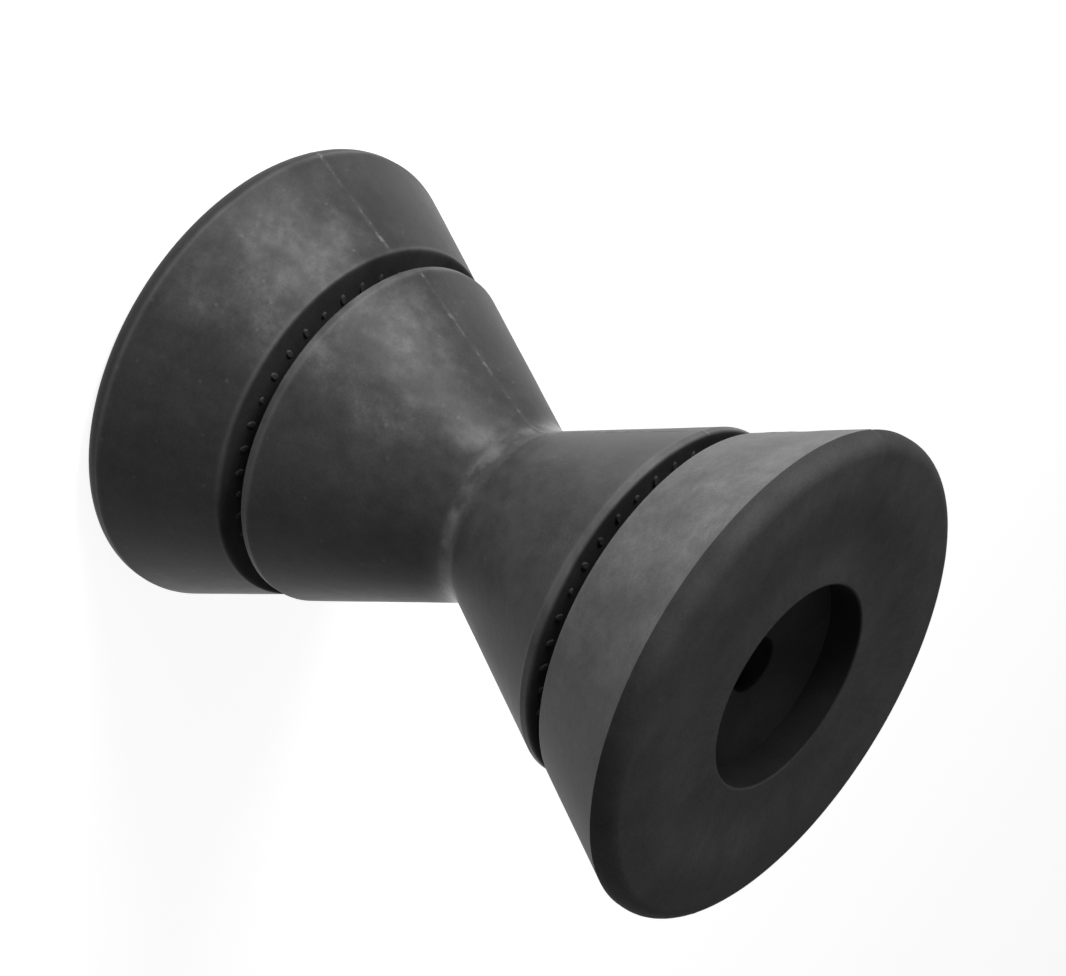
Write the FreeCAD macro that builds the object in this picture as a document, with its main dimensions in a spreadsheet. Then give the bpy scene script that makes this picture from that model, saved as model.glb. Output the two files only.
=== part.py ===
import FreeCAD, Part
import os

import Sketcher

# Boat trailer roller: a waisted centre roller between two flared end bells, all moulded in solid
# rubber and bored for one half-inch shaft. The three pieces share the shaft's axis, which is +Z.
# The origin is the middle of the bore, and the roller stands on the flat face of its lower bell.

# Every size is in millimetres and is taken from the origin or from the axis.
DIMENSIONS = {
    "bore_radius": ("6.85", "shaft bore through all three pieces"),
    "roller_end_height": ("45.2", "flat end of the centre roller"),
    "roller_land_height": ("43.2", "where the cone turns into a straight land at the end"),
    "roller_end_radius": ("44.3", "land at each end of the centre roller"),
    "roller_edge_round": ("0.6", "rounded lip between the land and the flat end"),
    "waist_corner_radius": ("22.4", "radius where the two cones would cross"),
    "waist_round": ("9.0", "hollow round that joins the two cones"),
    "hub_radius": ("16.0", "hub that spaces a bell off the centre roller"),
    "hub_end_height": ("45.5", "end of the hub, 0.3 mm clear of the centre roller"),
    "bell_inner_height": ("50.6", "inner face of a bell"),
    "bell_inner_radius": ("46.3", "small end of a bell"),
    "bell_edge_round": ("0.7", "rounded edge at the small end of a bell"),
    "bell_face_height": ("83.5", "flat outer face of a bell"),
    "rim_radius": ("60.0", "rim of a bell"),
    "rim_land_height": ("77.5", "where the cone turns into a straight land at the rim"),
    "rim_round": ("4.0", "rounded edge between the land and the outer face"),
    "recess_radius": ("25.2", "recess in the outer face"),
    "recess_wall_floor": ("74.3", "recess floor at its wall"),
    "recess_bore_floor": ("72.4", "recess floor at the bore, which it dips towards"),
    "recess_edge_round": ("0.5", "rounded edge around the recess"),
}


def add_sheet(doc):
    """Fill the spreadsheet that drives every sketch and round."""
    sheet = doc.addObject("Spreadsheet::Sheet", "Dimensions")
    for row, (alias, (value, note)) in enumerate(DIMENSIONS.items(), start=1):
        sheet.set(f"A{row}", value)
        sheet.setAlias(f"A{row}", alias)
        sheet.set(f"B{row}", note)
    doc.recompute()
    return sheet


def size(sheet, alias):
    """Return one driving dimension as a number."""
    return float(sheet.get(alias))


def origin_plane(body, role):
    """Return one of the body's own origin planes."""
    return next(item for item in body.Origin.OriginFeatures if item.Role == role)


def add_profile(body, sheet, name, corners, mirrored=False):
    """Draw a closed half section, as corners of (radius alias, height alias).

    A mirrored profile repeats its corners below the radius axis, in symmetry with those above it.
    A corner whose height alias is None lies on the radius axis.
    """
    sketch = body.newObject("Sketcher::SketchObject", name)
    sketch.AttachmentSupport = [(origin_plane(body, "XZ_Plane"), "")]
    sketch.MapMode = "FlatFace"

    points = [(size(sheet, r), size(sheet, h) if h else 0.0) for r, h in corners]
    above = len(points)
    if mirrored:
        points += [(r, -h) for r, h in reversed(points) if h]
    vectors = [FreeCAD.Vector(r, h, 0) for r, h in points]
    count = len(vectors)
    for index in range(count):
        sketch.addGeometry(Part.LineSegment(vectors[index], vectors[(index + 1) % count]))
    for index in range(count):
        sketch.addConstraint(Sketcher.Constraint("Coincident", index, 2, (index + 1) % count, 1))

    for index, (radius, height) in enumerate(corners):
        across = sketch.addConstraint(Sketcher.Constraint("DistanceX", -1, 1, index, 1, points[index][0]))
        sketch.setExpression(f"Constraints[{across}]", f"Dimensions.{radius}")
        if height:
            up = sketch.addConstraint(Sketcher.Constraint("DistanceY", -1, 1, index, 1, points[index][1]))
            sketch.setExpression(f"Constraints[{up}]", f"Dimensions.{height}")
        else:
            sketch.addConstraint(Sketcher.Constraint("PointOnObject", index, 1, -1))
    if mirrored:
        paired = [index for index, (_, height) in enumerate(corners) if height]
        for below, index in enumerate(reversed(paired), start=above):
            sketch.addConstraint(Sketcher.Constraint("Symmetric", index, 1, below, 1, -1))
    return sketch


def revolve(body, sketch, name):
    """Turn the half section once around +Z."""
    feature = body.newObject("PartDesign::Revolution", name)
    feature.Profile = sketch
    feature.ReferenceAxis = (sketch, ["V_Axis"])
    feature.Angle = 360.0
    sketch.Visibility = False
    body.Document.recompute()
    return feature


def ring_edges(shape, rings):
    """Name the circular edges of the given (radius, height) pairs."""
    names = []
    for radius, height in rings:
        found = [
            f"Edge{number}"
            for number, edge in enumerate(shape.Edges, start=1)
            if isinstance(edge.Curve, Part.Circle)
            and abs(edge.Curve.Radius - radius) < 1e-4
            and abs(edge.Curve.Center.z - height) < 1e-4
        ]
        if len(found) != 1:
            raise ValueError(f"{len(found)} edges at radius {radius}, height {height}")
        names += found
    return names


def round_off(body, base, name, rings, alias):
    """Round the named ring edges by one driving dimension."""
    feature = body.newObject("PartDesign::Fillet", name)
    feature.Base = (base, ring_edges(base.Shape, rings))
    feature.setExpression("Radius", f"Dimensions.{alias}")
    body.Document.recompute()
    return feature


def build_roller(doc, sheet):
    """Centre roller: two cones that meet in a rounded waist, flat at both ends."""
    body = doc.addObject("PartDesign::Body", "centre_roller")
    body.Label = "centre_roller"
    sketch = add_profile(
        body,
        sheet,
        "roller_profile",
        [
            ("waist_corner_radius", None),
            ("roller_end_radius", "roller_land_height"),
            ("roller_end_radius", "roller_end_height"),
            ("bore_radius", "roller_end_height"),
        ],
        mirrored=True,
    )
    solid = revolve(body, sketch, "roller_turned")
    end = size(sheet, "roller_end_height")
    rim = size(sheet, "roller_end_radius")
    waist = round_off(
        body, solid, "roller_waist", [(size(sheet, "waist_corner_radius"), 0.0)], "waist_round"
    )
    round_off(body, waist, "roller_lips", [(rim, end), (rim, -end)], "roller_edge_round")
    return body


def build_bell(doc, sheet, name, placement):
    """End bell: a flared ring with a hub on its inner side and a recess in its outer face."""
    body = doc.addObject("PartDesign::Body", name)
    body.Label = name
    sketch = add_profile(
        body,
        sheet,
        f"{name}_profile",
        [
            ("bore_radius", "hub_end_height"),
            ("hub_radius", "hub_end_height"),
            ("hub_radius", "bell_inner_height"),
            ("bell_inner_radius", "bell_inner_height"),
            ("rim_radius", "rim_land_height"),
            ("rim_radius", "bell_face_height"),
            ("recess_radius", "bell_face_height"),
            ("recess_radius", "recess_wall_floor"),
            ("bore_radius", "recess_bore_floor"),
        ],
    )
    solid = revolve(body, sketch, f"{name}_turned")
    face = size(sheet, "bell_face_height")
    rim = round_off(
        body, solid, f"{name}_rim", [(size(sheet, "rim_radius"), face)], "rim_round"
    )
    recess = round_off(
        body, rim, f"{name}_recess_edge", [(size(sheet, "recess_radius"), face)], "recess_edge_round"
    )
    small_end = [(size(sheet, "bell_inner_radius"), size(sheet, "bell_inner_height"))]
    round_off(body, recess, f"{name}_small_end", small_end, "bell_edge_round")
    body.Placement = placement
    return body


def check(doc, bodies):
    """Stop before anything is written if a feature or a piece is at fault."""
    for item in doc.Objects:
        faults = {"Invalid", "Error"} & set(item.State)
        if faults:
            raise RuntimeError(f"{item.Name}: {sorted(faults)}")
    for body in bodies:
        shape = body.Shape
        if shape.isNull() or not shape.isValid() or len(shape.Solids) != 1:
            raise RuntimeError(f"{body.Label}: not one valid solid")


def main():
    doc = FreeCAD.newDocument("boat_trailer_roller")
    sheet = add_sheet(doc)
    upright = FreeCAD.Placement()
    turned_over = FreeCAD.Placement(
        FreeCAD.Vector(0, 0, 0), FreeCAD.Rotation(FreeCAD.Vector(1, 0, 0), 180)
    )
    bodies = [
        build_roller(doc, sheet),
        build_bell(doc, sheet, "upper_end_bell", upright),
        build_bell(doc, sheet, "lower_end_bell", turned_over),
    ]
    doc.recompute()
    check(doc, bodies)

    os.makedirs("parts", exist_ok=True)
    for body in bodies:
        body.Shape.exportStep(f"parts/{body.Label}.step")
        box = body.Shape.optimalBoundingBox(False, False)
        print(
            f"{body.Label}: {box.XLength:.2f} x {box.YLength:.2f} x {box.ZLength:.2f} mm,"
            f" {body.Shape.Volume / 1000:.1f} cm3"
        )


main()
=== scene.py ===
"""A boat trailer roller in black moulded rubber: a waisted centre roller and a flared bell at each end.

Lengths in the dataclasses are millimetres and angles are degrees, measured about the shaft axis (+Z).
Everything is turned into metres on its way into a mesh, a modifier or a material.
"""

import logging
import math
from dataclasses import dataclass, field
from enum import Enum
from typing import Any, Mapping, Sequence

import bmesh
import bpy
from mathutils import Matrix, Vector


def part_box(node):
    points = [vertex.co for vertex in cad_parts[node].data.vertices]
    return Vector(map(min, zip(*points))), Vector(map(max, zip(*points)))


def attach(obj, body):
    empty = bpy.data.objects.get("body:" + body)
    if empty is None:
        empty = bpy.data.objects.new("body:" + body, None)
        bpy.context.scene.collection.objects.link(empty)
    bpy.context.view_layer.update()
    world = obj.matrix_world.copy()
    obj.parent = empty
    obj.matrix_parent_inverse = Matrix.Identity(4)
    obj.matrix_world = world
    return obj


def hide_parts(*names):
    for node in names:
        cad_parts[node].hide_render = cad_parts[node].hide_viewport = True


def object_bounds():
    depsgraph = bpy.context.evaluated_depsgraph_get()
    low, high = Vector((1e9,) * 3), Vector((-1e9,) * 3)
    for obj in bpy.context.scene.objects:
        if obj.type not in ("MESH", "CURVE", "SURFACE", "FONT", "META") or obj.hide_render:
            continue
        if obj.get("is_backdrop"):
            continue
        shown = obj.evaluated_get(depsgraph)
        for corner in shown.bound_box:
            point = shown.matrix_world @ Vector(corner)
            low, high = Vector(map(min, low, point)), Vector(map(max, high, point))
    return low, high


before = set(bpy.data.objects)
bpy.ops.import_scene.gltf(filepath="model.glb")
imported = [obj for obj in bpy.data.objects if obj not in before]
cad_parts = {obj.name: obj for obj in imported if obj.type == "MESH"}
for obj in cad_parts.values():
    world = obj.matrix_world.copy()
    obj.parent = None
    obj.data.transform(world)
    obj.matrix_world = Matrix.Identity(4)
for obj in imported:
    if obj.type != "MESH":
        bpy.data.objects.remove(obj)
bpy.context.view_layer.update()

MM = 0.001
MATH = "ShaderNodeMath"
RANGE = "ShaderNodeMapRange"
NOISE = "ShaderNodeTexNoise"
MIX = "ShaderNodeMix"
STORE = "GeometryNodeStoreNamedAttribute"
NAMED = "GeometryNodeInputNamedAttribute"

SHARES = ("bloom", "line", "hollow_shade", "wear_and_glint")  # kept on every point of a piece
NOISE_SPAN = (0.3, 0.7)  # where most of a noise lies
WHITE = (1.0, 1.0, 1.0, 1.0)

Tree = bpy.types.NodeTree
Socket = bpy.types.NodeSocket
Sockets = Mapping[str, Any]

log = logging.getLogger("trailer_roller")


# ---------------- helpers


def linear(hex_colour: str) -> tuple[float, float, float, float]:
    """Turns an sRGB hex colour into Blender's linear RGBA.

    Args:
        hex_colour: Six hex digits after a #.

    Returns:
        Red, green, blue and alpha, linear, from 0 to 1.
    """
    parts = [int(hex_colour[at:at + 2], 16) / 255.0 for at in (1, 3, 5)]
    curve = [p / 12.92 if p <= 0.04045 else ((p + 0.055) / 1.055) ** 2.4 for p in parts]
    return curve[0], curve[1], curve[2], 1.0


def add(
    tree: Tree,
    kind: str,
    *values: Any,
    to: Mapping[str, Any] | None = None,
    out: int | str = 0,
    **settings: Any,
) -> Socket:
    """Adds one node with its settings and its links.

    Args:
        tree: The node tree it goes into.
        kind: The node's type name.
        values: Numbers or outputs for its shown inputs, in order; None leaves one as it is.
        to: The same by name.
        out: Which shown output is wanted, by place or by name.
        settings: The node's own options, where they aren't Blender's defaults.

    Returns:
        The output asked for, or the node's first input where it has no output.
    """
    node = tree.nodes.new(kind)
    for name, value in settings.items():
        setattr(node, name, value)
    shown = [socket for socket in node.inputs if socket.enabled]
    pairs = list(zip(shown, values))
    for name, value in (to or {}).items():
        pairs.append((next(socket for socket in shown if socket.name == name), value))
    for socket, value in pairs:
        if isinstance(value, Socket):
            tree.links.new(value, socket)
        elif value is not None:
            socket.default_value = value
    ends = [socket for socket in node.outputs if socket.enabled]
    if not ends:
        return node.inputs[0]
    if isinstance(out, str):
        return next(socket for socket in ends if socket.name == out)
    return ends[out]


def new_group(name: str, inputs: Mapping[str, str]) -> tuple[Tree, dict[str, Any]]:
    """Starts a geometry tree with named inputs and one geometry output.

    Args:
        name: The tree's name.
        inputs: Kind of each input, by name: Int, Float or Material.

    Returns:
        The tree, and its input sockets by name.
    """
    tree = bpy.data.node_groups.new(name, "GeometryNodeTree")
    tree.interface.new_socket("Geometry", in_out="INPUT", socket_type="NodeSocketGeometry")
    for label, kind in inputs.items():
        tree.interface.new_socket(label, in_out="INPUT", socket_type="NodeSocket" + kind)
    tree.interface.new_socket("Geometry", in_out="OUTPUT", socket_type="NodeSocketGeometry")
    entry = add(tree, "NodeGroupInput").node
    return tree, {socket.name: socket for socket in entry.outputs if socket.name}


def around(tree: Tree, radius: Any, height: Any, angle: Any) -> Socket:
    """Gives the place at a radius, a height and an angle about the shaft axis."""
    across = add(tree, MATH, add(tree, MATH, angle, operation="COSINE"), radius, operation="MULTIPLY")
    away = add(tree, MATH, add(tree, MATH, angle, operation="SINE"), radius, operation="MULTIPLY")
    return add(tree, "ShaderNodeCombineXYZ", across, away, height)


def emptied(owner: Any) -> Tree:
    """Gives the node tree of a material or a world, with nothing in it."""
    owner.use_nodes = True
    owner.node_tree.nodes.clear()
    return owner.node_tree


def evaluate(
    source: bpy.types.Object, tree: Tree, sizes: Mapping[str, Any], name: str
) -> bpy.types.Mesh:
    """Runs a geometry tree on an object once and keeps the result as a plain mesh.

    Args:
        source: The object that the tree starts from, which is removed.
        tree: The geometry tree.
        sizes: Values for the tree's named inputs.
        name: Name of the mesh.

    Returns:
        The finished mesh.
    """
    modifier = source.modifiers.new(tree.name, "NODES")
    modifier.node_group = tree
    sockets = {
        item.name: item.identifier
        for item in tree.interface.items_tree
        if item.item_type == "SOCKET" and item.in_out == "INPUT"
    }
    for label, value in sizes.items():
        modifier[sockets[label]] = value
    shown = source.evaluated_get(bpy.context.evaluated_depsgraph_get())
    mesh = bpy.data.meshes.new_from_object(shown)
    mesh.name = name
    bpy.data.objects.remove(source)
    return mesh


def put_in_scene(name: str, data: Any) -> bpy.types.Object:
    """Makes an object from its data and links it to the scene."""
    made = bpy.data.objects.new(name, data)
    bpy.context.scene.collection.objects.link(made)
    return made


# ---------------- half sections


@dataclass(frozen=True)
class Skin:
    """How one stretch of a half section looks.

    Attributes:
        title: Its name, which also keeps stretches that look the same apart.
        bloom: How much of the pale wax bloom lies on it, from 0 to 1.
        line: How much of the mould line shows on it.
        hollow_shade: How much painted shade it has: darkening that stands in for the shade of a hollow.
    """

    title: str
    bloom: float
    line: float
    hollow_shade: float


class Run(Enum):
    """The stretches of a turned rubber moulding."""

    CONE = Skin("cone", 1.0, 1.0, 0.0)
    LIP = Skin("lip of the centre roller", 1.0, 1.0, 0.0)
    # Painted shade: the land round a bell's rim is darkened, with little bloom and some hollow shade.
    LAND = Skin("land round a bell's rim", 0.04, 1.0, 0.6)
    END = Skin("flat end", 0.0, 0.0, 0.0)
    # The hub, the recess, its floor and the bore carry painted shade, darkening these hollows.
    HUB = Skin("hub", 0.0, 0.0, 0.5)
    RECESS = Skin("wall of the recess", 0.0, 0.0, 1.0)
    FLOOR = Skin("floor of the recess", 0.0, 0.0, 0.75)
    BORE = Skin("bore", 0.0, 0.0, 1.0)


@dataclass(frozen=True)
class Corner:
    """One corner of a half section.

    Attributes:
        radius, height: Distance from the shaft axis and place along it, mm.
        round_off: Radius that the corner is rounded to, mm.
        run: The stretch that starts here.
        wear_and_glint: How bright the corner is laid, from wear and a painted highlight, from 0 to 1.
    """

    radius: float
    height: float
    round_off: float
    run: Run
    wear_and_glint: float = 0.0


@dataclass(frozen=True)
class SectionPoint:
    """One point of a finished half section, with what the rubber is like there.

    Attributes:
        radius, height: As in Corner.
        out_radius, out_height: The outward direction, away from the axis and along it.
        bloom, line, hollow_shade: As in Skin.
        wear_and_glint: As in Corner.
    """

    radius: float
    height: float
    out_radius: float
    out_height: float
    bloom: float
    line: float
    hollow_shade: float
    wear_and_glint: float


@dataclass(frozen=True)
class HalfSection:
    """A closed half section: its corners in order, and how finely it is divided.

    Attributes:
        corners: The corners, in order round the section.
        spacing: Longest step on a straight stretch, mm.
        supports: Places of the short steps next to a rounded corner, mm from it.
        arc_step: Largest turn between two points of a rounded corner, degrees.
        wear_and_glint_width: How far the wear and painted highlight of a corner reach, mm.
        middle: Share of a stretch's length that short steps from one end may not pass.
    """

    corners: Sequence[Corner]
    spacing: float = 2.4
    supports: tuple[float, ...] = (0.25, 0.6, 1.1)
    arc_step: float = 9.0
    wear_and_glint_width: float = 0.5
    middle: float = 0.45

    def points(self) -> list[SectionPoint]:
        """Rounds the corners and divides the stretches between them.

        Returns:
            The points in order, each with its outward direction.
        """
        count = len(self.corners)
        arcs = [self._arc(index) for index in range(count)]
        found: list[SectionPoint] = []
        for index, arc in enumerate(arcs):
            before = self.corners[index - 1].run.value
            here = self.corners[index]
            after = here.run.value
            ahead = self.corners[(index + 1) % count]
            for at, (place, out) in enumerate(arc):
                part = at / (len(arc) - 1)
                looks = (
                    getattr(before, name) + (getattr(after, name) - getattr(before, name)) * part
                    for name in ("bloom", "line", "hollow_shade")
                )
                found.append(SectionPoint(*place, *out, *looks, here.wear_and_glint))
            found += self._straight(arc[-1][0], arcs[(index + 1) % count][0][0], here, ahead)
        return found

    def _arc(self, index: int) -> list[tuple[Vector, Vector]]:
        """Rounds one corner: its points with their outward directions."""
        count = len(self.corners)
        here = self.corners[index]
        at = Vector((here.radius, here.height))
        last = Vector((self.corners[index - 1].radius, self.corners[index - 1].height))
        ahead = self.corners[(index + 1) % count]
        come = (at - last).normalized()
        go = (Vector((ahead.radius, ahead.height)) - at).normalized()
        turn = math.atan2(come.x * go.y - come.y * go.x, come.dot(go))
        reach = here.round_off * math.tan(abs(turn) / 2.0)
        steps = max(2, math.ceil(math.degrees(abs(turn)) / self.arc_step))
        side = math.copysign(1.0, turn)
        centre = at - come * reach + Vector((-come.y, come.x)) * side * here.round_off
        found = []
        for step in range(steps + 1):
            spoke = Vector((come.y, -come.x))
            spoke.rotate(Matrix.Rotation(turn * step / steps, 2))
            found.append((centre + spoke * side * here.round_off, self._outward() * spoke))
        return found

    def _outward(self) -> float:
        """Gives 1 where the corners run anticlockwise, with the outside on the right, else -1."""
        area = 0.0
        for index, corner in enumerate(self.corners):
            last = self.corners[index - 1]
            area += last.radius * corner.height - corner.radius * last.height
        return 1.0 if area > 0.0 else -1.0

    def _straight(self, start: Vector, end: Vector, here: Corner, ahead: Corner) -> list[SectionPoint]:
        """Divides one straight stretch, with short steps at each end so that it shades flat."""
        run = end - start
        length = run.length
        out = Vector((run.y, -run.x)).normalized() * self._outward()
        near = [mark for mark in self.supports if mark < self.middle * length]
        if not near:
            return []
        first, last = near[-1], length - near[-1]
        parts = max(1, math.ceil((last - first) / self.spacing))
        marks = near[:-1] + [first + (last - first) * step / parts for step in range(parts + 1)]
        marks += [length - mark for mark in reversed(near[:-1])]
        skin = here.run.value
        return [
            SectionPoint(
                *(start + run * (mark / length)), *out, skin.bloom, skin.line, skin.hollow_shade,
                max(here.wear_and_glint * self._wear_and_glint_left(mark), ahead.wear_and_glint * self._wear_and_glint_left(length - mark)),
            )
            for mark in marks
        ]

    def _wear_and_glint_left(self, distance: float) -> float:
        """Gives the share of a corner's wear and painted highlight that is left at a distance from it,
        mm.
        """
        return math.exp(-((distance / self.wear_and_glint_width) ** 2))


# ---------------- geometry trees


@dataclass
class TurnedTree:
    """The rule that turns a half section into a moulding, with the mould line on its cones.

    The angle steps crowd together at the mould line, where the ridge is narrower than an even step.

    Attributes:
        name: Name of the tree.
        break_size: Distance between the breaks in the mould line, mm.
        break_span, break_strength: Noise values where it is weakest and strongest, and its strengths.
        merge_distance: Distance at which the last row of points joins the first, mm.
    """

    name: str = "turned_moulding"
    break_size: float = 6.25
    break_span: tuple[float, float] = (0.38, 0.66)
    break_strength: tuple[float, float] = (0.25, 1.25)
    merge_distance: float = 0.002

    def build(self) -> Tree:
        """Builds the tree.

        Returns:
            The geometry tree, which takes the half section's points as its geometry.
        """
        tree, given = new_group(self.name, {
            "Divisions": "Int", "Line angle": "Float", "Crowding": "Float", "Line height": "Float",
            "Line width": "Float", "Ripple height": "Float", "Ripple size": "Float", "Seed": "Float",
            "Rubber": "Material",
        })
        section = given["Geometry"]
        points = add(tree, "GeometryNodeAttributeDomainSize", section, out="Point Count")
        rows = add(tree, MATH, given["Divisions"], 1.0, operation="ADD")
        columns = add(tree, MATH, points, 1.0, operation="ADD")
        grid = add(tree, "GeometryNodeMeshGrid", 1.0, 1.0, columns, rows)
        index = add(tree, "GeometryNodeInputIndex")

        column = add(tree, MATH, add(tree, MATH, index, rows, operation="DIVIDE"), operation="FLOOR")
        column = add(tree, MATH, column, points, operation="FLOORED_MODULO")
        row = add(tree, MATH, index, rows, operation="FLOORED_MODULO")
        share = add(tree, MATH, row, given["Divisions"], operation="DIVIDE")
        turn = add(tree, MATH, share, 2.0 * math.pi, operation="MULTIPLY")
        off_line = add(tree, MATH, turn, given["Line angle"], operation="SUBTRACT")
        double = add(tree, MATH, off_line, 2.0, operation="MULTIPLY")
        wave = add(tree, MATH, double, operation="SINE")
        half = add(tree, MATH, given["Crowding"], 0.5, operation="MULTIPLY")
        shift = add(tree, MATH, wave, half, operation="MULTIPLY")
        angle = add(tree, MATH, turn, shift, operation="SUBTRACT")

        wanted = {name: (add(tree, NAMED, name), "FLOAT") for name in SHARES}
        wanted["place"] = add(tree, "GeometryNodeInputPosition"), "FLOAT_VECTOR"
        wanted["outward"] = add(tree, NAMED, "outward", data_type="FLOAT_VECTOR"), "FLOAT_VECTOR"
        kept = {
            name: add(
                tree, "GeometryNodeSampleIndex",
                to={"Geometry": section, "Value": value, "Index": column},
                data_type=data_type, domain="POINT",
            )
            for name, (value, data_type) in wanted.items()
        }
        place, outward = kept.pop("place"), kept.pop("outward")

        radius = add(tree, "ShaderNodeSeparateXYZ", place, out="X")
        height = add(tree, "ShaderNodeSeparateXYZ", place, out="Z")
        spot = around(tree, radius, height, angle)

        aside = add(tree, MATH, angle, given["Line angle"], operation="SUBTRACT")
        aside = add(tree, MATH, aside, operation="SINE")
        aside = add(tree, MATH, aside, radius, operation="MULTIPLY")
        aside = add(tree, MATH, aside, given["Line width"], operation="DIVIDE")
        square = add(tree, MATH, aside, aside, operation="MULTIPLY")
        ridge = add(tree, MATH, square, -1.0, operation="MULTIPLY")
        ridge = add(tree, MATH, ridge, operation="EXPONENT")
        ridge = add(tree, MATH, ridge, kept["line"], operation="MULTIPLY")
        coarseness = 1.0 / (self.break_size * MM)
        breaks = add(
            tree, NOISE, to={"Vector": spot, "W": given["Seed"], "Scale": coarseness, "Detail": 3.0},
            noise_dimensions="4D",
        )
        strength = add(
            tree, RANGE, breaks, *self.break_span, *self.break_strength,
            interpolation_type="SMOOTHSTEP",
        )
        line = add(tree, MATH, ridge, strength, operation="MULTIPLY")
        lift = add(tree, MATH, line, given["Line height"], operation="MULTIPLY")

        fineness = add(tree, MATH, 1.0, given["Ripple size"], operation="DIVIDE")
        swell = add(
            tree, NOISE, to={"Vector": spot, "W": given["Seed"], "Scale": fineness, "Detail": 1.5},
            noise_dimensions="4D",
        )
        swell = add(tree, RANGE, swell, *NOISE_SPAN, -1.0, 0.0)
        swell = add(tree, MATH, swell, given["Ripple height"], operation="MULTIPLY")
        swell = add(tree, MATH, swell, kept["bloom"], operation="MULTIPLY")
        lift = add(tree, MATH, lift, swell, operation="ADD")

        out_radius = add(tree, "ShaderNodeSeparateXYZ", outward, out="X")
        out_height = add(tree, "ShaderNodeSeparateXYZ", outward, out="Z")
        radius = add(tree, MATH, out_radius, lift, radius, operation="MULTIPLY_ADD")
        height = add(tree, MATH, out_height, lift, height, operation="MULTIPLY_ADD")
        spot = around(tree, radius, height, angle)
        mesh = add(tree, "GeometryNodeSetPosition", grid, to={"Position": spot})
        kept["line"] = line
        for name, value in kept.items():
            mesh = add(tree, STORE, mesh, to={"Name": name, "Value": value})
        mesh = add(
            tree, "GeometryNodeMergeByDistance", mesh, to={"Distance": self.merge_distance * MM})
        mesh = add(tree, "GeometryNodeSetShadeSmooth", mesh)
        mesh = add(tree, "GeometryNodeRealizeInstances", mesh)
        mesh = add(tree, "GeometryNodeSetMaterial", mesh, to={"Material": given["Rubber"]})
        add(tree, "NodeGroupOutput", mesh)
        return tree


@dataclass
class MarkTree:
    """The rule for a ring of raised moulding marks: three bars, a dot, and so on round a flat end.

    Attributes:
        name: Name of the tree.
        bars: How many bars stand between two dots.
        sides: How many sides a mark has.
        top: Half the width of a mark's top, as a share of the width of its foot.
        wear_and_glint: How pale the marks are, from wear and a painted highlight.
    """

    name: str = "ring_of_marks"
    bars: int = 3
    sides: int = 14
    top: float = 0.36
    wear_and_glint: float = 0.3

    def build(self) -> Tree:
        """Builds the tree.

        Returns:
            The geometry tree, which needs no geometry of its own.
        """
        tree, given = new_group(self.name, {
            "Count": "Int", "Ring radius": "Float", "Ring height": "Float", "Bar length": "Float",
            "Bar width": "Float", "Depth": "Float", "Rubber": "Material",
        })
        index = add(tree, "GeometryNodeInputIndex")
        share = add(tree, MATH, index, given["Count"], operation="DIVIDE")
        angle = add(tree, MATH, share, 2.0 * math.pi, operation="MULTIPLY")
        spot = around(tree, given["Ring radius"], given["Ring height"], angle)
        points = add(tree, "GeometryNodePoints", given["Count"], spot)
        turn = add(tree, MATH, index, self.bars + 1.0, operation="FLOORED_MODULO")
        is_dot = add(tree, MATH, turn, self.bars - 0.5, operation="GREATER_THAN")
        length = add(tree, MIX, is_dot, given["Bar length"], given["Bar width"])
        pad = add(
            tree, "GeometryNodeMeshCone",
            to={"Vertices": self.sides, "Radius Top": self.top, "Radius Bottom": 0.5, "Depth": 1.0},
        )
        pad = add(tree, "GeometryNodeTransform", pad, to={"Translation": (0.0, 0.0, -0.5)})
        rotation = add(tree, "FunctionNodeAxisAngleToRotation", (0.0, 0.0, 1.0), angle)
        scale = add(tree, "ShaderNodeCombineXYZ", length, given["Bar width"], given["Depth"])
        marks = add(
            tree, "GeometryNodeInstanceOnPoints", points,
            to={"Instance": pad, "Rotation": rotation, "Scale": scale},
        )
        marks = add(tree, "GeometryNodeRealizeInstances", marks)
        for name in SHARES:
            value = self.wear_and_glint if name == "wear_and_glint" else 0.0
            marks = add(tree, STORE, marks, to={"Name": name, "Value": value})
        marks = add(tree, "GeometryNodeSetMaterial", marks, to={"Material": given["Rubber"]})
        add(tree, "NodeGroupOutput", marks)
        return tree


# ---------------- finishes


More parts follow.
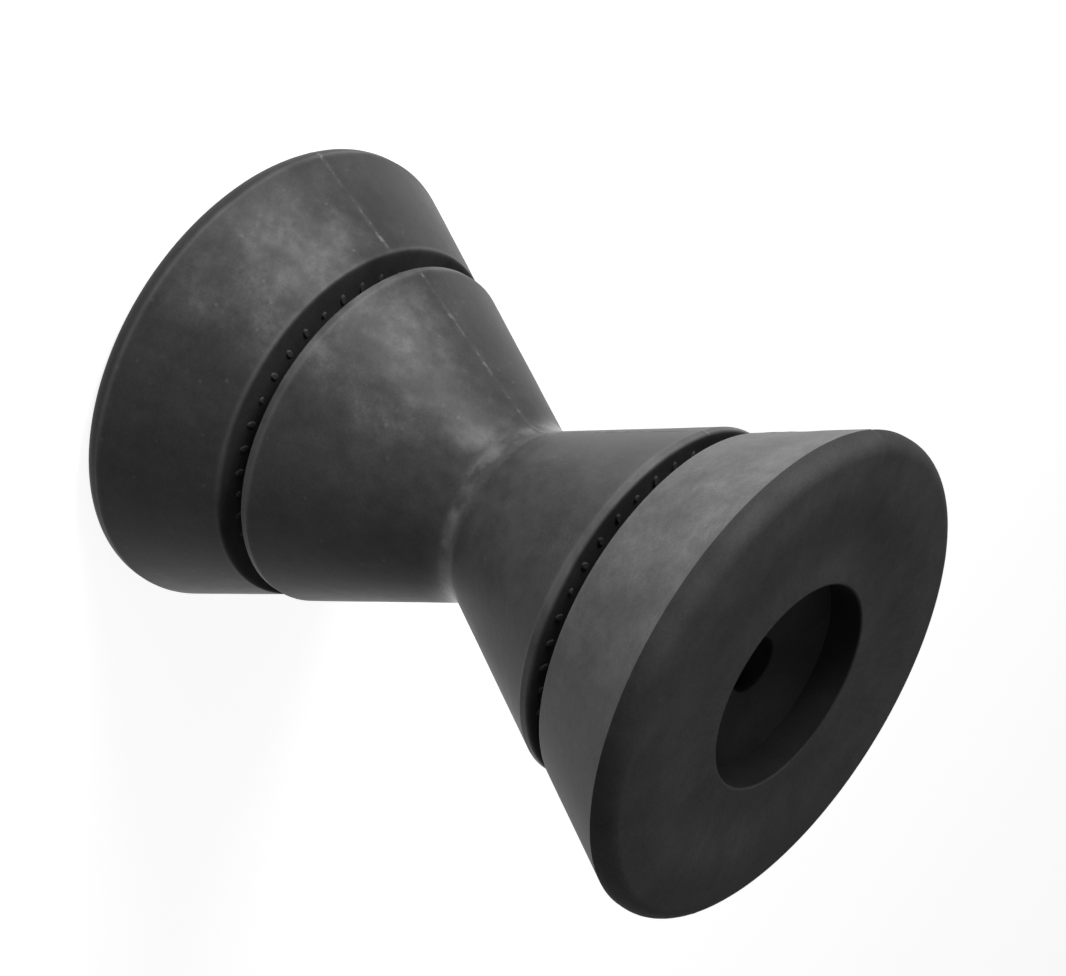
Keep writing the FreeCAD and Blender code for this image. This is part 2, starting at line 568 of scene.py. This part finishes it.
@dataclass(frozen=True)
class MouldedRubber:
    """Black styrene-butadiene rubber, pressed in a steel mould and left as it came out.

    To the eye: a soft charcoal with a grey wax bloom on the cones, mottled, faintly streaked and
    speckled, a broad satin sheen in raking light, and cleaner, darker flat ends. Its colour holds
    painted light too: cones that can turn paler higher up, painted shade in the hollows, and a pale
    patch, pale corners and a pale waist ring that are partly painted highlights.

    Attributes:
        name: Name of the material.
        low, high: Colour of the cones under and above the change; a paler high colour is painted light
            on the upper side.
        change: Height at which the cone colour changes, mm, and half the width of the change.
        end, hollow_shade: Colour of the flat ends, and of the painted shade laid in the hollows.
        bloom, pale_wear_and_glint: Colour of the pale patch, thick bloom with a painted highlight, and
            of corners pale from wear and a painted highlight.
        cone_roughness, end_roughness: Roughness of the cones and of the flat ends.
        waist_roughness: Roughness where a keel has polished the waist smooth.
        waist_rub_and_highlight: How bright the narrowest ring of the waist is, from 0 to 1: keel wear
            and a painted highlight.
        waist_ring, waist_span: Distances from the middle between which that ring and the smooth
            waist fade, mm.
        cone_gloss, end_gloss, waist_gloss: Specular level of the cones, of the flat ends and hollows,
            and of the smooth waist; the bloom dulls the rubber's own 0.5.
        uneven: How much the roughness goes up and down.
        index: Index of refraction.
        patch_angle: The side that the pale patch lies on: thick bloom with a painted highlight.
        patch_reach: Degrees from its middle at which the patch is full and at which it ends.
        patch_span: Lowest and highest part of the patch, mm.
        patch_fade: Half the height of its fading edges, mm.
        cloud_size, mottle_size, grain_size: Size of the slow changes of shade, of the mottles and of
            the fine grain, mm.
        streak_size: Length and width of the streaks, mm.
        streak_slant: How far the streaks climb, degrees.
        streak_radius: Radius at which their length is true, mm.
        drag_size: Size of the breaks in the waist's pale ring, mm.
        speck_size, bead_size: Distance between specks, and between the mould line's beads, mm.
        shades: How much clouds, grain and streaks change the shade.
        mottle_shades: How much the mottles change it on the flat ends and on the cones.
    """

    name: str
    low: str = "#2f2f2f"
    high: str = "#2f2f2f"
    change: tuple[float, float] = (0.0, 7.0)
    end: str = "#333333"
    hollow_shade: str = "#1f1f1f"
    bloom: str = "#5e5e5e"
    pale_wear_and_glint: str = "#636363"
    cone_roughness: float = 0.43
    end_roughness: float = 0.55
    waist_roughness: float = 0.45
    waist_rub_and_highlight: float = 0.0
    waist_ring: tuple[float, float] = (0.3, 2.4)
    waist_span: tuple[float, float] = (1.5, 8.0)
    cone_gloss: float = 0.105
    end_gloss: float = 0.006
    waist_gloss: float = 0.13
    uneven: float = 0.03
    index: float = 1.52
    patch_angle: float = 242.0
    patch_reach: tuple[float, float] = (5.0, 30.0)
    patch_span: tuple[float, float] = (-74.0, -4.0)
    patch_fade: float = 4.0
    cloud_size: float = 15.0
    mottle_size: float = 3.6
    grain_size: float = 0.5
    streak_size: tuple[float, float] = (9.0, 1.1)
    streak_slant: float = 32.0
    streak_radius: float = 45.0
    drag_size: float = 9.0
    speck_size: float = 3.4
    bead_size: float = 3.2
    shades: tuple[float, float, float] = (0.2, 0.1, 0.04)
    mottle_shades: tuple[float, float] = (0.06, 0.17)

    def material(self, line_angle: float) -> bpy.types.Material:
        """Builds the material.

        Args:
            line_angle: Where the mould line is, degrees; the streaks start and end on it.

        Returns:
            The finished material.
        """
        made = bpy.data.materials.new(self.name)
        tree = emptied(made)
        where = add(tree, "ShaderNodeTexCoord", out="Object")
        has = {
            name: add(tree, "ShaderNodeAttribute", attribute_name=name, out="Fac") for name in SHARES
        }
        has["height"] = add(tree, "ShaderNodeSeparateXYZ", where, out="Z")
        for name, size, detail, roughness in (
            ("clouds", self.cloud_size, 4.0, 0.55),
            ("mottle", self.mottle_size, 5.0, 0.62),
            ("grain", self.grain_size, 2.0, 0.5),
            ("drags", self.drag_size, 3.0, 0.6),
            ("beads", self.bead_size, 2.0, 0.7),
        ):
            has[name] = add(tree, NOISE, to={
                "Vector": where, "Scale": 1.0 / (size * MM), "Detail": detail, "Roughness": roughness})
        has["streaks"] = self._streaks(tree, where, has["height"], line_angle)
        has["specks"] = self._specks(tree, where)
        has["patch"] = self._bloom_and_highlight_patch(tree, where, has)
        rough, gloss = self._sheen(tree, has)
        surface = add(
            tree, "ShaderNodeBsdfPrincipled",
            to={
                "Base Color": self._marked(tree, has, self._shaded(tree, has)), "Roughness": rough,
                "IOR": self.index, "Normal": self._relief(tree, has), "Specular IOR Level": gloss,
            },
        )
        add(tree, "ShaderNodeOutputMaterial", surface)
        return made

    def _shaded(self, tree: Tree, has: Sockets) -> Socket:
        """Gives the rubber's colour with its bloom, painted light on the upper side, painted shade in
        the hollows, the pale patch, clouds, mottles, grain and streaks.
        """
        # Painted light: the cones turn to the paler high colour above the change.
        middle, half = self.change
        upper = add(
            tree, RANGE, has["height"], (middle - half) * MM, (middle + half) * MM, 0.0, 1.0,
            interpolation_type="SMOOTHSTEP",
        )
        cone = add(tree, MIX, upper, linear(self.low), linear(self.high), data_type="RGBA")
        colour = add(tree, MIX, has["bloom"], linear(self.end), cone, data_type="RGBA")
        # Painted shade: the hub, the recess, its floor, the bore and the upper bell's land are
        # darkened.
        colour = add(tree, MIX, has["hollow_shade"], colour, linear(self.hollow_shade), data_type="RGBA")
        # The pale patch: thick bloom and a painted highlight.
        colour = add(tree, MIX, has["patch"], colour, linear(self.bloom), data_type="RGBA")
        depth = add(tree, MIX, has["bloom"], *self.mottle_shades)
        quick = add(tree, RANGE, has["mottle"], *NOISE_SPAN, -1.0, 1.0)
        shade = add(tree, MATH, quick, depth, 1.0, operation="MULTIPLY_ADD")
        for name, change in zip(("clouds", "grain", "streaks"), self.shades):
            factor = add(tree, RANGE, has[name], *NOISE_SPAN, 1.0 - change, 1.0 + change)
            shade = add(tree, MATH, shade, factor, operation="MULTIPLY")
        return add(tree, "ShaderNodeVectorMath", colour, to={"Scale": shade}, operation="SCALE")

    def _marked(self, tree: Tree, has: Sockets, colour: Socket) -> Socket:
        """Lays the pale corners and waist ring, partly wear and partly painted highlights, the pale
        mould line and the specks on a colour.
        """
        # Wear and painted highlight: corners and marks are laid paler.
        rub_and_glint = add(tree, RANGE, has["clouds"], 0.36, 0.6, 0.25, 0.9)
        rub_and_glint = add(tree, MATH, rub_and_glint, has["wear_and_glint"], operation="MULTIPLY")
        # The waist's narrowest ring: keel wear and a painted highlight.
        ring = self._near_middle(tree, has["height"], self.waist_ring)
        dragged = add(tree, RANGE, has["drags"], 0.42, 0.62, 0.0, self.waist_rub_and_highlight)
        ring = add(tree, MATH, ring, dragged, operation="MULTIPLY")
        rub_and_glint = add(tree, MATH, rub_and_glint, ring, operation="MAXIMUM")
        beads = add(tree, RANGE, has["beads"], 0.5, 0.62, 0.12, 1.0)
        pale_line = add(tree, MATH, has["line"], beads, operation="MULTIPLY", use_clamp=True)
        near_patch = add(tree, MATH, has["patch"], 0.75, 0.2, operation="MULTIPLY_ADD")
        specks = add(tree, MATH, has["specks"], near_patch, operation="MULTIPLY")
        specks = add(tree, MATH, specks, has["bloom"], operation="MULTIPLY")
        for mask in (rub_and_glint, pale_line, specks):
            colour = add(tree, MIX, mask, colour, linear(self.pale_wear_and_glint), data_type="RGBA")
        return colour

    def _sheen(self, tree: Tree, has: Sockets) -> tuple[Socket, Socket]:
        """Gives the roughness and the specular level."""
        waist = self._near_middle(tree, has["height"], self.waist_span)
        rough = add(tree, MIX, has["bloom"], self.end_roughness, self.cone_roughness)
        rough = add(tree, MIX, waist, rough, self.waist_roughness)
        for name in ("mottle", "clouds"):
            change = add(tree, RANGE, has[name], *NOISE_SPAN, -self.uneven, self.uneven)
            rough = add(tree, MATH, change, rough, operation="ADD")
        gloss = add(tree, MIX, has["bloom"], self.end_gloss, self.cone_gloss)
        gloss = add(tree, MIX, has["hollow_shade"], gloss, self.end_gloss)
        return rough, add(tree, MIX, waist, gloss, self.waist_gloss)

    def _relief(self, tree: Tree, has: Sockets) -> Socket:
        """Gives the surface's direction with its mottles, streaks and grain, whose depths are in mm."""
        bumps = None
        for name, strength, depth in (
            ("mottle", 0.2, 0.3), ("streaks", 0.12, 0.2), ("grain", 0.3, 0.08),
        ):
            bumps = add(tree, "ShaderNodeBump", to={
                "Height": has[name], "Strength": strength, "Distance": depth * MM, "Normal": bumps})
        return bumps

    def _near_middle(self, tree: Tree, height: Any, fade: tuple[float, float]) -> Socket:
        """Masks the ring round the middle height, with the distances in mm between which it fades."""
        away = add(tree, MATH, height, operation="ABSOLUTE")
        return add(
            tree, RANGE, away, fade[0] * MM, fade[1] * MM, 1.0, 0.0, interpolation_type="SMOOTHSTEP")

    def _angle(self, tree: Tree, where: Any, start: float) -> Socket:
        """Gives the angle about the shaft from a starting angle, from -pi to pi."""
        turned = add(
            tree, "ShaderNodeVectorRotate", where, to={"Angle": math.radians(-start)},
            rotation_type="Z_AXIS",
        )
        x = add(tree, "ShaderNodeSeparateXYZ", turned, out="X")
        y = add(tree, "ShaderNodeSeparateXYZ", turned, out="Y")
        return add(tree, MATH, y, x, operation="ARCTAN2")

    def _streaks(self, tree: Tree, where: Any, height: Any, line_angle: float) -> Socket:
        """Adds the slanting streaks that the rubber took as it flowed in the mould."""
        slant = math.radians(self.streak_slant)
        arc = self._angle(tree, where, line_angle + 180.0)
        arc = add(tree, MATH, arc, self.streak_radius * MM, operation="MULTIPLY")
        along = add(tree, MATH, arc, math.cos(slant), operation="MULTIPLY")
        along = add(tree, MATH, height, math.sin(slant), along, operation="MULTIPLY_ADD")
        across = add(tree, MATH, arc, -math.sin(slant), operation="MULTIPLY")
        across = add(tree, MATH, height, math.cos(slant), across, operation="MULTIPLY_ADD")
        along = add(tree, MATH, along, self.streak_size[0] * MM, operation="DIVIDE")
        across = add(tree, MATH, across, self.streak_size[1] * MM, operation="DIVIDE")
        place = add(tree, "ShaderNodeCombineXYZ", along, across)
        return add(tree, NOISE, to={"Vector": place, "Scale": 1.0, "Detail": 3.0, "Roughness": 0.6})

    def _specks(self, tree: Tree, where: Any) -> Socket:
        """Masks small pale specks of bloom, on about a third of the cells of a grid."""
        spread = add(
            tree, "ShaderNodeTexVoronoi", to={"Vector": where, "Scale": 1.0 / (self.speck_size * MM)})
        pick = add(tree, "ShaderNodeSeparateColor", spread.node.outputs["Color"])
        pick = add(tree, RANGE, pick, 0.62, 0.9, 0.0, 1.0)
        spot = add(tree, RANGE, spread, 0.08, 0.2, 1.0, 0.0, interpolation_type="SMOOTHSTEP")
        return add(tree, MATH, spot, pick, operation="MULTIPLY")

    def _bloom_and_highlight_patch(self, tree: Tree, where: Any, has: Sockets) -> Socket:
        """Masks the cloudy pale patch on one side of the piece: thick bloom with a painted highlight.
        """
        full, gone = (math.cos(math.radians(reach)) for reach in self.patch_reach)
        mask = add(tree, MATH, self._angle(tree, where, self.patch_angle), operation="COSINE")
        mask = add(tree, RANGE, mask, gone, full, 0.0, 1.0)
        for edge, below, above in zip(self.patch_span, (0.0, 1.0), (1.0, 0.0)):
            first, last = (edge - self.patch_fade) * MM, (edge + self.patch_fade) * MM
            inside = add(tree, RANGE, has["height"], first, last, below, above)
            mask = add(tree, MATH, mask, inside, operation="MULTIPLY")
        cloudy = add(
            tree, RANGE, has["clouds"], 0.38, 0.68, 0.12, 0.62, interpolation_type="SMOOTHSTEP")
        spotty = add(tree, RANGE, has["mottle"], 0.35, 0.65, 0.6, 1.0)
        for part in (cloudy, spotty, has["bloom"]):
            mask = add(tree, MATH, mask, part, operation="MULTIPLY")
        return mask


# ---------------- the pieces


class End(Enum):
    """Which end of the roller a bell is at; the value is the way it points along the shaft."""

    UPPER = 1.0
    LOWER = -1.0


@dataclass(frozen=True)
class MouldLine:
    """The ridge that the two halves of the mould leave along the cones.

    Attributes:
        angle: Where it runs, degrees; it runs on the opposite side as well.
        height: How proud it stands, mm.
        width: Half its width, mm.
    """

    angle: float
    height: float = 0.12
    width: float = 0.5


@dataclass(frozen=True)
class MarkRing:
    """A ring of raised moulding marks on a flat end.

    Attributes:
        radius: Radius of the ring, mm.
        count: How many marks.
        length: Length of a bar along its radius, mm.
        width: Width of a bar and of a dot, mm.
        proud: How far they stand out of the flat, mm.
        sunk: How far they reach into the rubber under it, mm.
    """

    radius: float = 39.8
    count: int = 40
    length: float = 3.0
    width: float = 1.6
    proud: float = 0.2
    sunk: float = 0.15


@dataclass
class TurnedPiece:
    """What the centre roller and the bells share: a half section turned about the shaft.

    Attributes:
        node: The CAD node that the piece stands for, and the piece's own name.
        body: The CAD body that it moves with.
        slot: The material slot in the record; not used.
        finish: The rubber.
        mould_line: The mould line on its cones.
        marks: The ring of marks on its flat inner ends.
        divisions: How many steps one turn has.
        crowding: How strongly the steps crowd at the mould line, below 1.
        ripple: Depth and size of the slight ripple of the cones, mm.
        seed: Seed of the ripple and of the breaks in the mould line.
        bore_radius: Radius of the bore, mm.
    """

    node: str
    body: str
    slot: str
    finish: MouldedRubber
    mould_line: MouldLine
    seed: float
    marks: MarkRing = field(default_factory=MarkRing)
    divisions: int = 360
    crowding: float = 0.8
    ripple: tuple[float, float] = (0.1, 22.0)
    bore_radius: float = 6.85

    def corners(self) -> list[Corner]:
        """Gives the corners of the half section."""
        raise NotImplementedError

    def mark_heights(self) -> list[tuple[float, float]]:
        """Gives the height of each ring of marks, mm, with the way it faces along the shaft."""
        raise NotImplementedError

    def build(self, turned: Tree, marked: Tree) -> bpy.types.Object:
        """Builds the piece, dresses it and puts it in the place of its CAD node.

        Args:
            turned: The tree that turns half sections.
            marked: The tree that makes rings of marks.

        Returns:
            The finished object.
        """
        rubber = self.finish.material(self.mould_line.angle)
        shell = evaluate(self._section_object(), turned, {
            "Divisions": self.divisions,
            "Line angle": math.radians(self.mould_line.angle),
            "Crowding": self.crowding,
            "Line height": self.mould_line.height * MM,
            "Line width": self.mould_line.width * MM,
            "Ripple height": self.ripple[0] * MM,
            "Ripple size": self.ripple[1] * MM,
            "Seed": self.seed,
            "Rubber": rubber,
        }, self.node + "_shell")
        meshes = [shell] + [
            self._mark_ring(marked, rubber, height, way) for height, way in self.mark_heights()
        ]
        mesh = self._joined(meshes, rubber)
        piece = put_in_scene(self.node + "_rubber", mesh)
        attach(piece, self.body)
        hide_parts(self.node)
        log.info("%s: %d faces on body %s", piece.name, len(mesh.polygons), self.body)
        return piece

    def _section_object(self) -> bpy.types.Object:
        """Makes the half section's points, with what the rubber is like at each."""
        points = HalfSection(self.corners()).points()
        mesh = bpy.data.meshes.new(self.node + "_section")
        mesh.from_pydata([(p.radius * MM, 0.0, p.height * MM) for p in points], [], [])
        outward = mesh.attributes.new("outward", "FLOAT_VECTOR", "POINT")
        outward.data.foreach_set(
            "vector", [part for p in points for part in (p.out_radius, 0.0, p.out_height)])
        for name in SHARES:
            values = mesh.attributes.new(name, "FLOAT", "POINT")
            values.data.foreach_set("value", [getattr(p, name) for p in points])
        return put_in_scene(self.node + "_section", mesh)

    def _mark_ring(
        self, tree: Tree, rubber: bpy.types.Material, height: float, way: float
    ) -> bpy.types.Mesh:
        """Makes one ring of marks on a flat end that faces up (way 1) or down (way -1)."""
        source = put_in_scene("marks", bpy.data.meshes.new("marks"))
        mesh = evaluate(source, tree, {
            "Count": self.marks.count,
            "Ring radius": self.marks.radius * MM,
            "Ring height": self.marks.proud * MM,
            "Bar length": self.marks.length * MM,
            "Bar width": self.marks.width * MM,
            "Depth": (self.marks.proud + self.marks.sunk) * MM,
            "Rubber": rubber,
        }, self.node + "_marks")
        mesh.transform(Matrix.Diagonal((1.0, 1.0, way, 1.0)))
        mesh.transform(Matrix.Translation((0.0, 0.0, height * MM)))
        return mesh

    def _joined(self, meshes: Sequence[bpy.types.Mesh], rubber: bpy.types.Material) -> bpy.types.Mesh:
        """Joins meshes into one, with its faces outwards and smooth."""
        solid = bmesh.new()
        for mesh in meshes:
            solid.from_mesh(mesh)
            bpy.data.meshes.remove(mesh)
        bmesh.ops.recalc_face_normals(solid, faces=solid.faces)
        joined = bpy.data.meshes.new(self.node + "_rubber")
        solid.to_mesh(joined)
        solid.free()
        joined.materials.clear()
        joined.materials.append(rubber)
        return joined


@dataclass
class CentreRoller(TurnedPiece):
    """The waisted spool between the bells: two cones that meet in a rounded waist.

    Attributes:
        bore_round: Round of the bore's edges, mm.
        lip: Length of the straight land at each end, mm.
        lip_round, lip_wear_and_glint: Round of its outer edge, mm, and how pale that edge is, from wear
            and a painted highlight.
        crease_round, crease_wear_and_glint: The same for its edge to the cone.
        waist_corner, waist_round: Radius at which the cones would meet, and the waist's round, mm.
    """

    bore_round: float = 0.3
    lip: float = 2.0
    lip_round: float = 0.6
    lip_wear_and_glint: float = 0.4
    crease_round: float = 0.35
    crease_wear_and_glint: float = 0.5
    waist_corner: float = 22.4
    waist_round: float = 9.0

    def corners(self) -> list[Corner]:
        """Gives the corners of the half section, from the bore's lower end outwards and up."""
        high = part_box(self.node)[1]
        rim, end = high.x / MM, high.z / MM
        land = end - self.lip
        return [
            Corner(self.bore_radius, -end, self.bore_round, Run.END),
            Corner(rim, -end, self.lip_round, Run.LIP, self.lip_wear_and_glint),
            Corner(rim, -land, self.crease_round, Run.CONE, self.crease_wear_and_glint),
            Corner(self.waist_corner, 0.0, self.waist_round, Run.CONE),
            Corner(rim, land, self.crease_round, Run.LIP, self.crease_wear_and_glint),
            Corner(rim, end, self.lip_round, Run.END, self.lip_wear_and_glint),
            Corner(self.bore_radius, end, self.bore_round, Run.BORE),
        ]

    def mark_heights(self) -> list[tuple[float, float]]:
        """Gives a ring of marks on each flat end."""
        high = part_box(self.node)[1].z / MM
        return [(high, 1.0), (-high, -1.0)]


@dataclass
class EndBell(TurnedPiece):
    """A flared bell: a flat outer face with a round recess, and a plain hub on its inner side.

    The hub's rounds are those of its bore, end and root.

    Attributes:
        end: Which end of the roller it is at.
        land: The stretch round its rim; the LAND stretch is darkened with painted shade.
        crease_wear_and_glint: How pale the edge between the cone and the rim is, from wear and a
            painted highlight.
        small_wear_and_glint: How pale the edge of the small end is, from wear and a painted highlight.
        land_drop: How far that edge lies under the outer face.
        rim_fall, valley_fall, recess_fall: How far the rim, the valley round the recess and the
            recess's edge lie under the crown of the outer face.
        recess_wall, recess_bore: Depth of the recess at its wall and at the bore.
    """

    end: End = End.UPPER
    land: Run = Run.LAND
    crease_wear_and_glint: float = 0.0
    small_wear_and_glint: float = 0.3
    bore_round: float = 0.4
    hub_radius: float = 16.0
    hub_length: float = 5.1
    hub_rounds: tuple[float, float, float] = (0.3, 0.4, 0.6)
    small_radius: float = 46.3
    small_round: float = 0.7
    land_drop: float = 6.0
    crease_round: float = 0.35
    rim_round: float = 4.0
    rim_fall: float = 1.1
    crown_radius: float = 47.0
    crown_round: float = 35.0
    valley_radius: float = 34.0
    valley_round: float = 50.0
    valley_fall: float = 1.1
    recess_radius: float = 25.2
    recess_round: float = 0.5
    recess_fall: float = 0.6
    recess_wall: float = 9.2
    floor_round: float = 0.05
    recess_bore: float = 11.1

    def corners(self) -> list[Corner]:
        """Gives the corners of the half section, from the hub's end outwards and round to the bore."""
        low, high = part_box(self.node)
        rim = high.x / MM
        face = max(abs(low.z), abs(high.z)) / MM
        hub = min(abs(low.z), abs(high.z)) / MM
        inner = hub + self.hub_length
        bore_edge, hub_edge, hub_root = self.hub_rounds
        upright = [
            Corner(self.bore_radius, hub, bore_edge, Run.HUB),
            Corner(self.hub_radius, hub, hub_edge, Run.HUB),
            Corner(self.hub_radius, inner, hub_root, Run.END),
            Corner(self.small_radius, inner, self.small_round, Run.CONE, self.small_wear_and_glint),
            Corner(rim, face - self.land_drop, self.crease_round, self.land, self.crease_wear_and_glint),
            Corner(rim, face - self.rim_fall, self.rim_round, Run.END),
            Corner(self.crown_radius, face, self.crown_round, Run.END),
            Corner(self.valley_radius, face - self.valley_fall, self.valley_round, Run.END),
            Corner(self.recess_radius, face - self.recess_fall, self.recess_round, Run.RECESS),
            Corner(self.recess_radius, face - self.recess_wall, self.floor_round, Run.FLOOR),
            Corner(self.bore_radius, face - self.recess_bore, self.bore_round, Run.BORE),
        ]
        way = self.end.value
        return [
            Corner(c.radius, c.height * way, c.round_off, c.run, c.wear_and_glint) for c in upright
        ]

    def mark_heights(self) -> list[tuple[float, float]]:
        """Gives the ring of marks on the inner side, which faces the centre roller."""
        low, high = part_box(self.node)
        hub = min(abs(low.z), abs(high.z)) / MM
        way = self.end.value
        return [((hub + self.hub_length) * way, -way)]


# ---------------- the studio


@dataclass(frozen=True)
class SoftLight:
    """A square soft light that faces the roller.

    Attributes:
        name: Its name.
        angle: Where it stands about the shaft axis, degrees.
        distance: How far from the axis, mm.
        height: Height of its middle, mm, above the middle of the bore.
        aim: Height that it faces, mm.
        width, tall: Its width and height, mm.
        watts: Its power.
    """

    name: str
    angle: float
    distance: float
    height: float
    aim: float
    width: float
    tall: float
    watts: float

    def build(self) -> bpy.types.Object:
        """Makes the light; it isn't itself seen by the camera."""
        data = bpy.data.lights.new(self.name, "AREA")
        data.shape = "RECTANGLE"
        data.size = self.width * MM
        data.size_y = self.tall * MM
        data.energy = self.watts
        light = put_in_scene(self.name, data)
        turn = math.radians(self.angle)
        light.location = (
            self.distance * math.cos(turn) * MM,
            self.distance * math.sin(turn) * MM,
            self.height * MM,
        )
        aim = Vector((0.0, 0.0, self.aim * MM)) - light.location
        light.rotation_euler = aim.to_track_quat("-Z", "Y").to_euler()
        light.visible_camera = False
        log.info("%s: %.1f W", self.name, self.watts)
        return light


@dataclass(frozen=True)
class Viewpoint:
    """The photograph's camera, which was held turned well away from upright.

    Attributes:
        place: Where it stands, mm.
        pitch: How far it looks down, degrees.
        roll: How far its right-hand side is turned up from level, degrees.
        lens: Focal length, mm.
        sensor: Width of the sensor, mm.
        near: Nearest distance that is drawn, mm.
    """

    place: tuple[float, float, float] = (-8.53, -570.66, 340.44)
    pitch: float = 30.773
    roll: float = 120.917
    lens: float = 96.17
    sensor: float = 36.0
    near: float = 10.0

    def build(self) -> bpy.types.Object:
        """Makes the camera and hands it to the scene."""
        data = bpy.data.cameras.new("camera")
        data.lens = self.lens
        data.sensor_width = self.sensor
        data.sensor_fit = "HORIZONTAL"
        data.clip_start = self.near * MM
        camera = put_in_scene("camera", data)
        pitch, roll = math.radians(self.pitch), math.radians(self.roll)
        forward = Vector((0.0, math.cos(pitch), -math.sin(pitch)))
        level = Vector((1.0, 0.0, 0.0))
        over = level.cross(forward)
        right = level * math.cos(roll) + over * math.sin(roll)
        up = right.cross(forward)
        turned = Matrix((right, up, -forward)).transposed().to_4x4()
        camera.matrix_world = Matrix.Translation(Vector(self.place) * MM) @ turned
        bpy.context.scene.camera = camera
        return camera


@dataclass(frozen=True)
class Studio:
    """The pale floor, the soft lights and the camera.

    Attributes:
        lights: The soft lights.
        view: The camera.
        floor_half: Half the floor's width, mm.
        floor_paint: How pale the floor's own paint is.
        floor_white: Share of the floor's white that no shadow takes away.
        sky: Strength of the even light from all round.
    """

    lights: tuple[SoftLight, ...] = (
        SoftLight("key_light", 213.0, 560.0, 190.0, 0.0, 240.0, 200.0, 3.0),
        SoftLight("fill_light", 205.0, 560.0, 120.0, 0.0, 480.0, 300.0, 0.75),
        SoftLight("low_light", 224.0, 330.0, -72.0, 70.0, 420.0, 160.0, 1.2),
        SoftLight("face_light", 300.0, 500.0, 500.0, 60.0, 300.0, 300.0, 0.6),
        SoftLight("rim_light", 45.0, 600.0, 60.0, 0.0, 420.0, 260.0, 0.06),
    )
    view: Viewpoint = Viewpoint()
    floor_half: float = 6000.0
    floor_paint: float = 0.55
    floor_white: float = 0.86
    sky: float = 0.09

    def build(self) -> None:
        """Builds the floor, the sky, the lights and the camera."""
        self._floor()
        self._world()
        for light in self.lights:
            light.build()
        self.view.build()
        bpy.context.scene.view_settings.view_transform = "Standard"

    def _floor(self) -> None:
        """Lays the floor under the lower bell."""
        half = self.floor_half * MM
        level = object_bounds()[0].z
        mesh = bpy.data.meshes.new("floor")
        mesh.from_pydata(
            [(-half, -half, level), (half, -half, level), (half, half, level), (-half, half, level)],
            [], [(0, 1, 2, 3)],
        )
        made = bpy.data.materials.new("pale_floor_paint")
        tree = emptied(made)
        paint = add(tree, "ShaderNodeBsdfDiffuse", (*3 * (self.floor_paint,), 1.0))
        seen = self._seen(tree)
        strength = add(tree, MATH, seen, self.floor_white, operation="MULTIPLY")
        glow = add(tree, "ShaderNodeEmission", WHITE, strength)
        add(tree, "ShaderNodeOutputMaterial", add(tree, "ShaderNodeAddShader", paint, glow))
        mesh.materials.append(made)
        put_in_scene("floor", mesh)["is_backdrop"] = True
        log.info("floor at %.1f mm", level / MM)

    def _seen(self, tree: Tree) -> Socket:
        """Gives 1 for what the camera sees, straight, mirrored or through glass, and 0 for the rest."""
        straight = add(tree, "ShaderNodeLightPath", out="Is Camera Ray")
        mirrored = straight.node.outputs["Is Glossy Ray"]
        through = straight.node.outputs["Is Transmission Ray"]
        either = add(tree, MATH, straight, mirrored, operation="MAXIMUM")
        return add(tree, MATH, either, through, operation="MAXIMUM")

    def _world(self) -> None:
        """Sets an even soft light all round, white where the camera sees it."""
        world = bpy.data.worlds.new("studio")
        bpy.context.scene.world = world
        tree = emptied(world)
        seen = self._seen(tree)
        strength = add(tree, MIX, seen, self.sky, 1.0)
        glow = add(tree, "ShaderNodeBackground", WHITE, strength)
        add(tree, "ShaderNodeOutputWorld", glow)


# ---------------- the whole


def main() -> None:
    """Builds the roller, piece by piece, then the studio round it."""
    logging.basicConfig(level=logging.INFO, format="%(name)s: %(message)s")
    turned = TurnedTree().build()
    marked = MarkTree().build()
    pieces: list[TurnedPiece] = [
        CentreRoller(
            "centre_roller", "roller", "roller_rubber",
            MouldedRubber(
                # The paler high colour on the upper half is painted light.
                "roller_moulded_rubber", low="#333333", high="#3d3d3d",
                # The waist's pale ring is partly a painted highlight.
                waist_roughness=0.25, waist_rub_and_highlight=0.85,
            ),
            MouldLine(210.0), 1.7,
        ),
        EndBell(
            "upper_end_bell", "upper_bell", "bell_rubber",
            MouldedRubber(
                # A paler copy of the lower bell's rubber: its paler colours are painted light, lighter
                # only because of how the light fell.
                "upper_bell_moulded_rubber", low="#525252", high="#525252", end="#474747",
                cone_roughness=0.52, patch_span=(54.0, 76.0),
            ),
            MouldLine(201.0), 4.2, end=End.UPPER,
        ),
        EndBell(
            "lower_end_bell", "lower_bell", "bell_rubber",
            MouldedRubber("lower_bell_moulded_rubber"),
            MouldLine(213.0), 9.1, end=End.LOWER, crease_wear_and_glint=0.4, land=Run.LIP,
        ),
    ]
    for piece in pieces:
        piece.build(turned, marked)
    Studio().build()


if __name__ == "__main__":
    main()
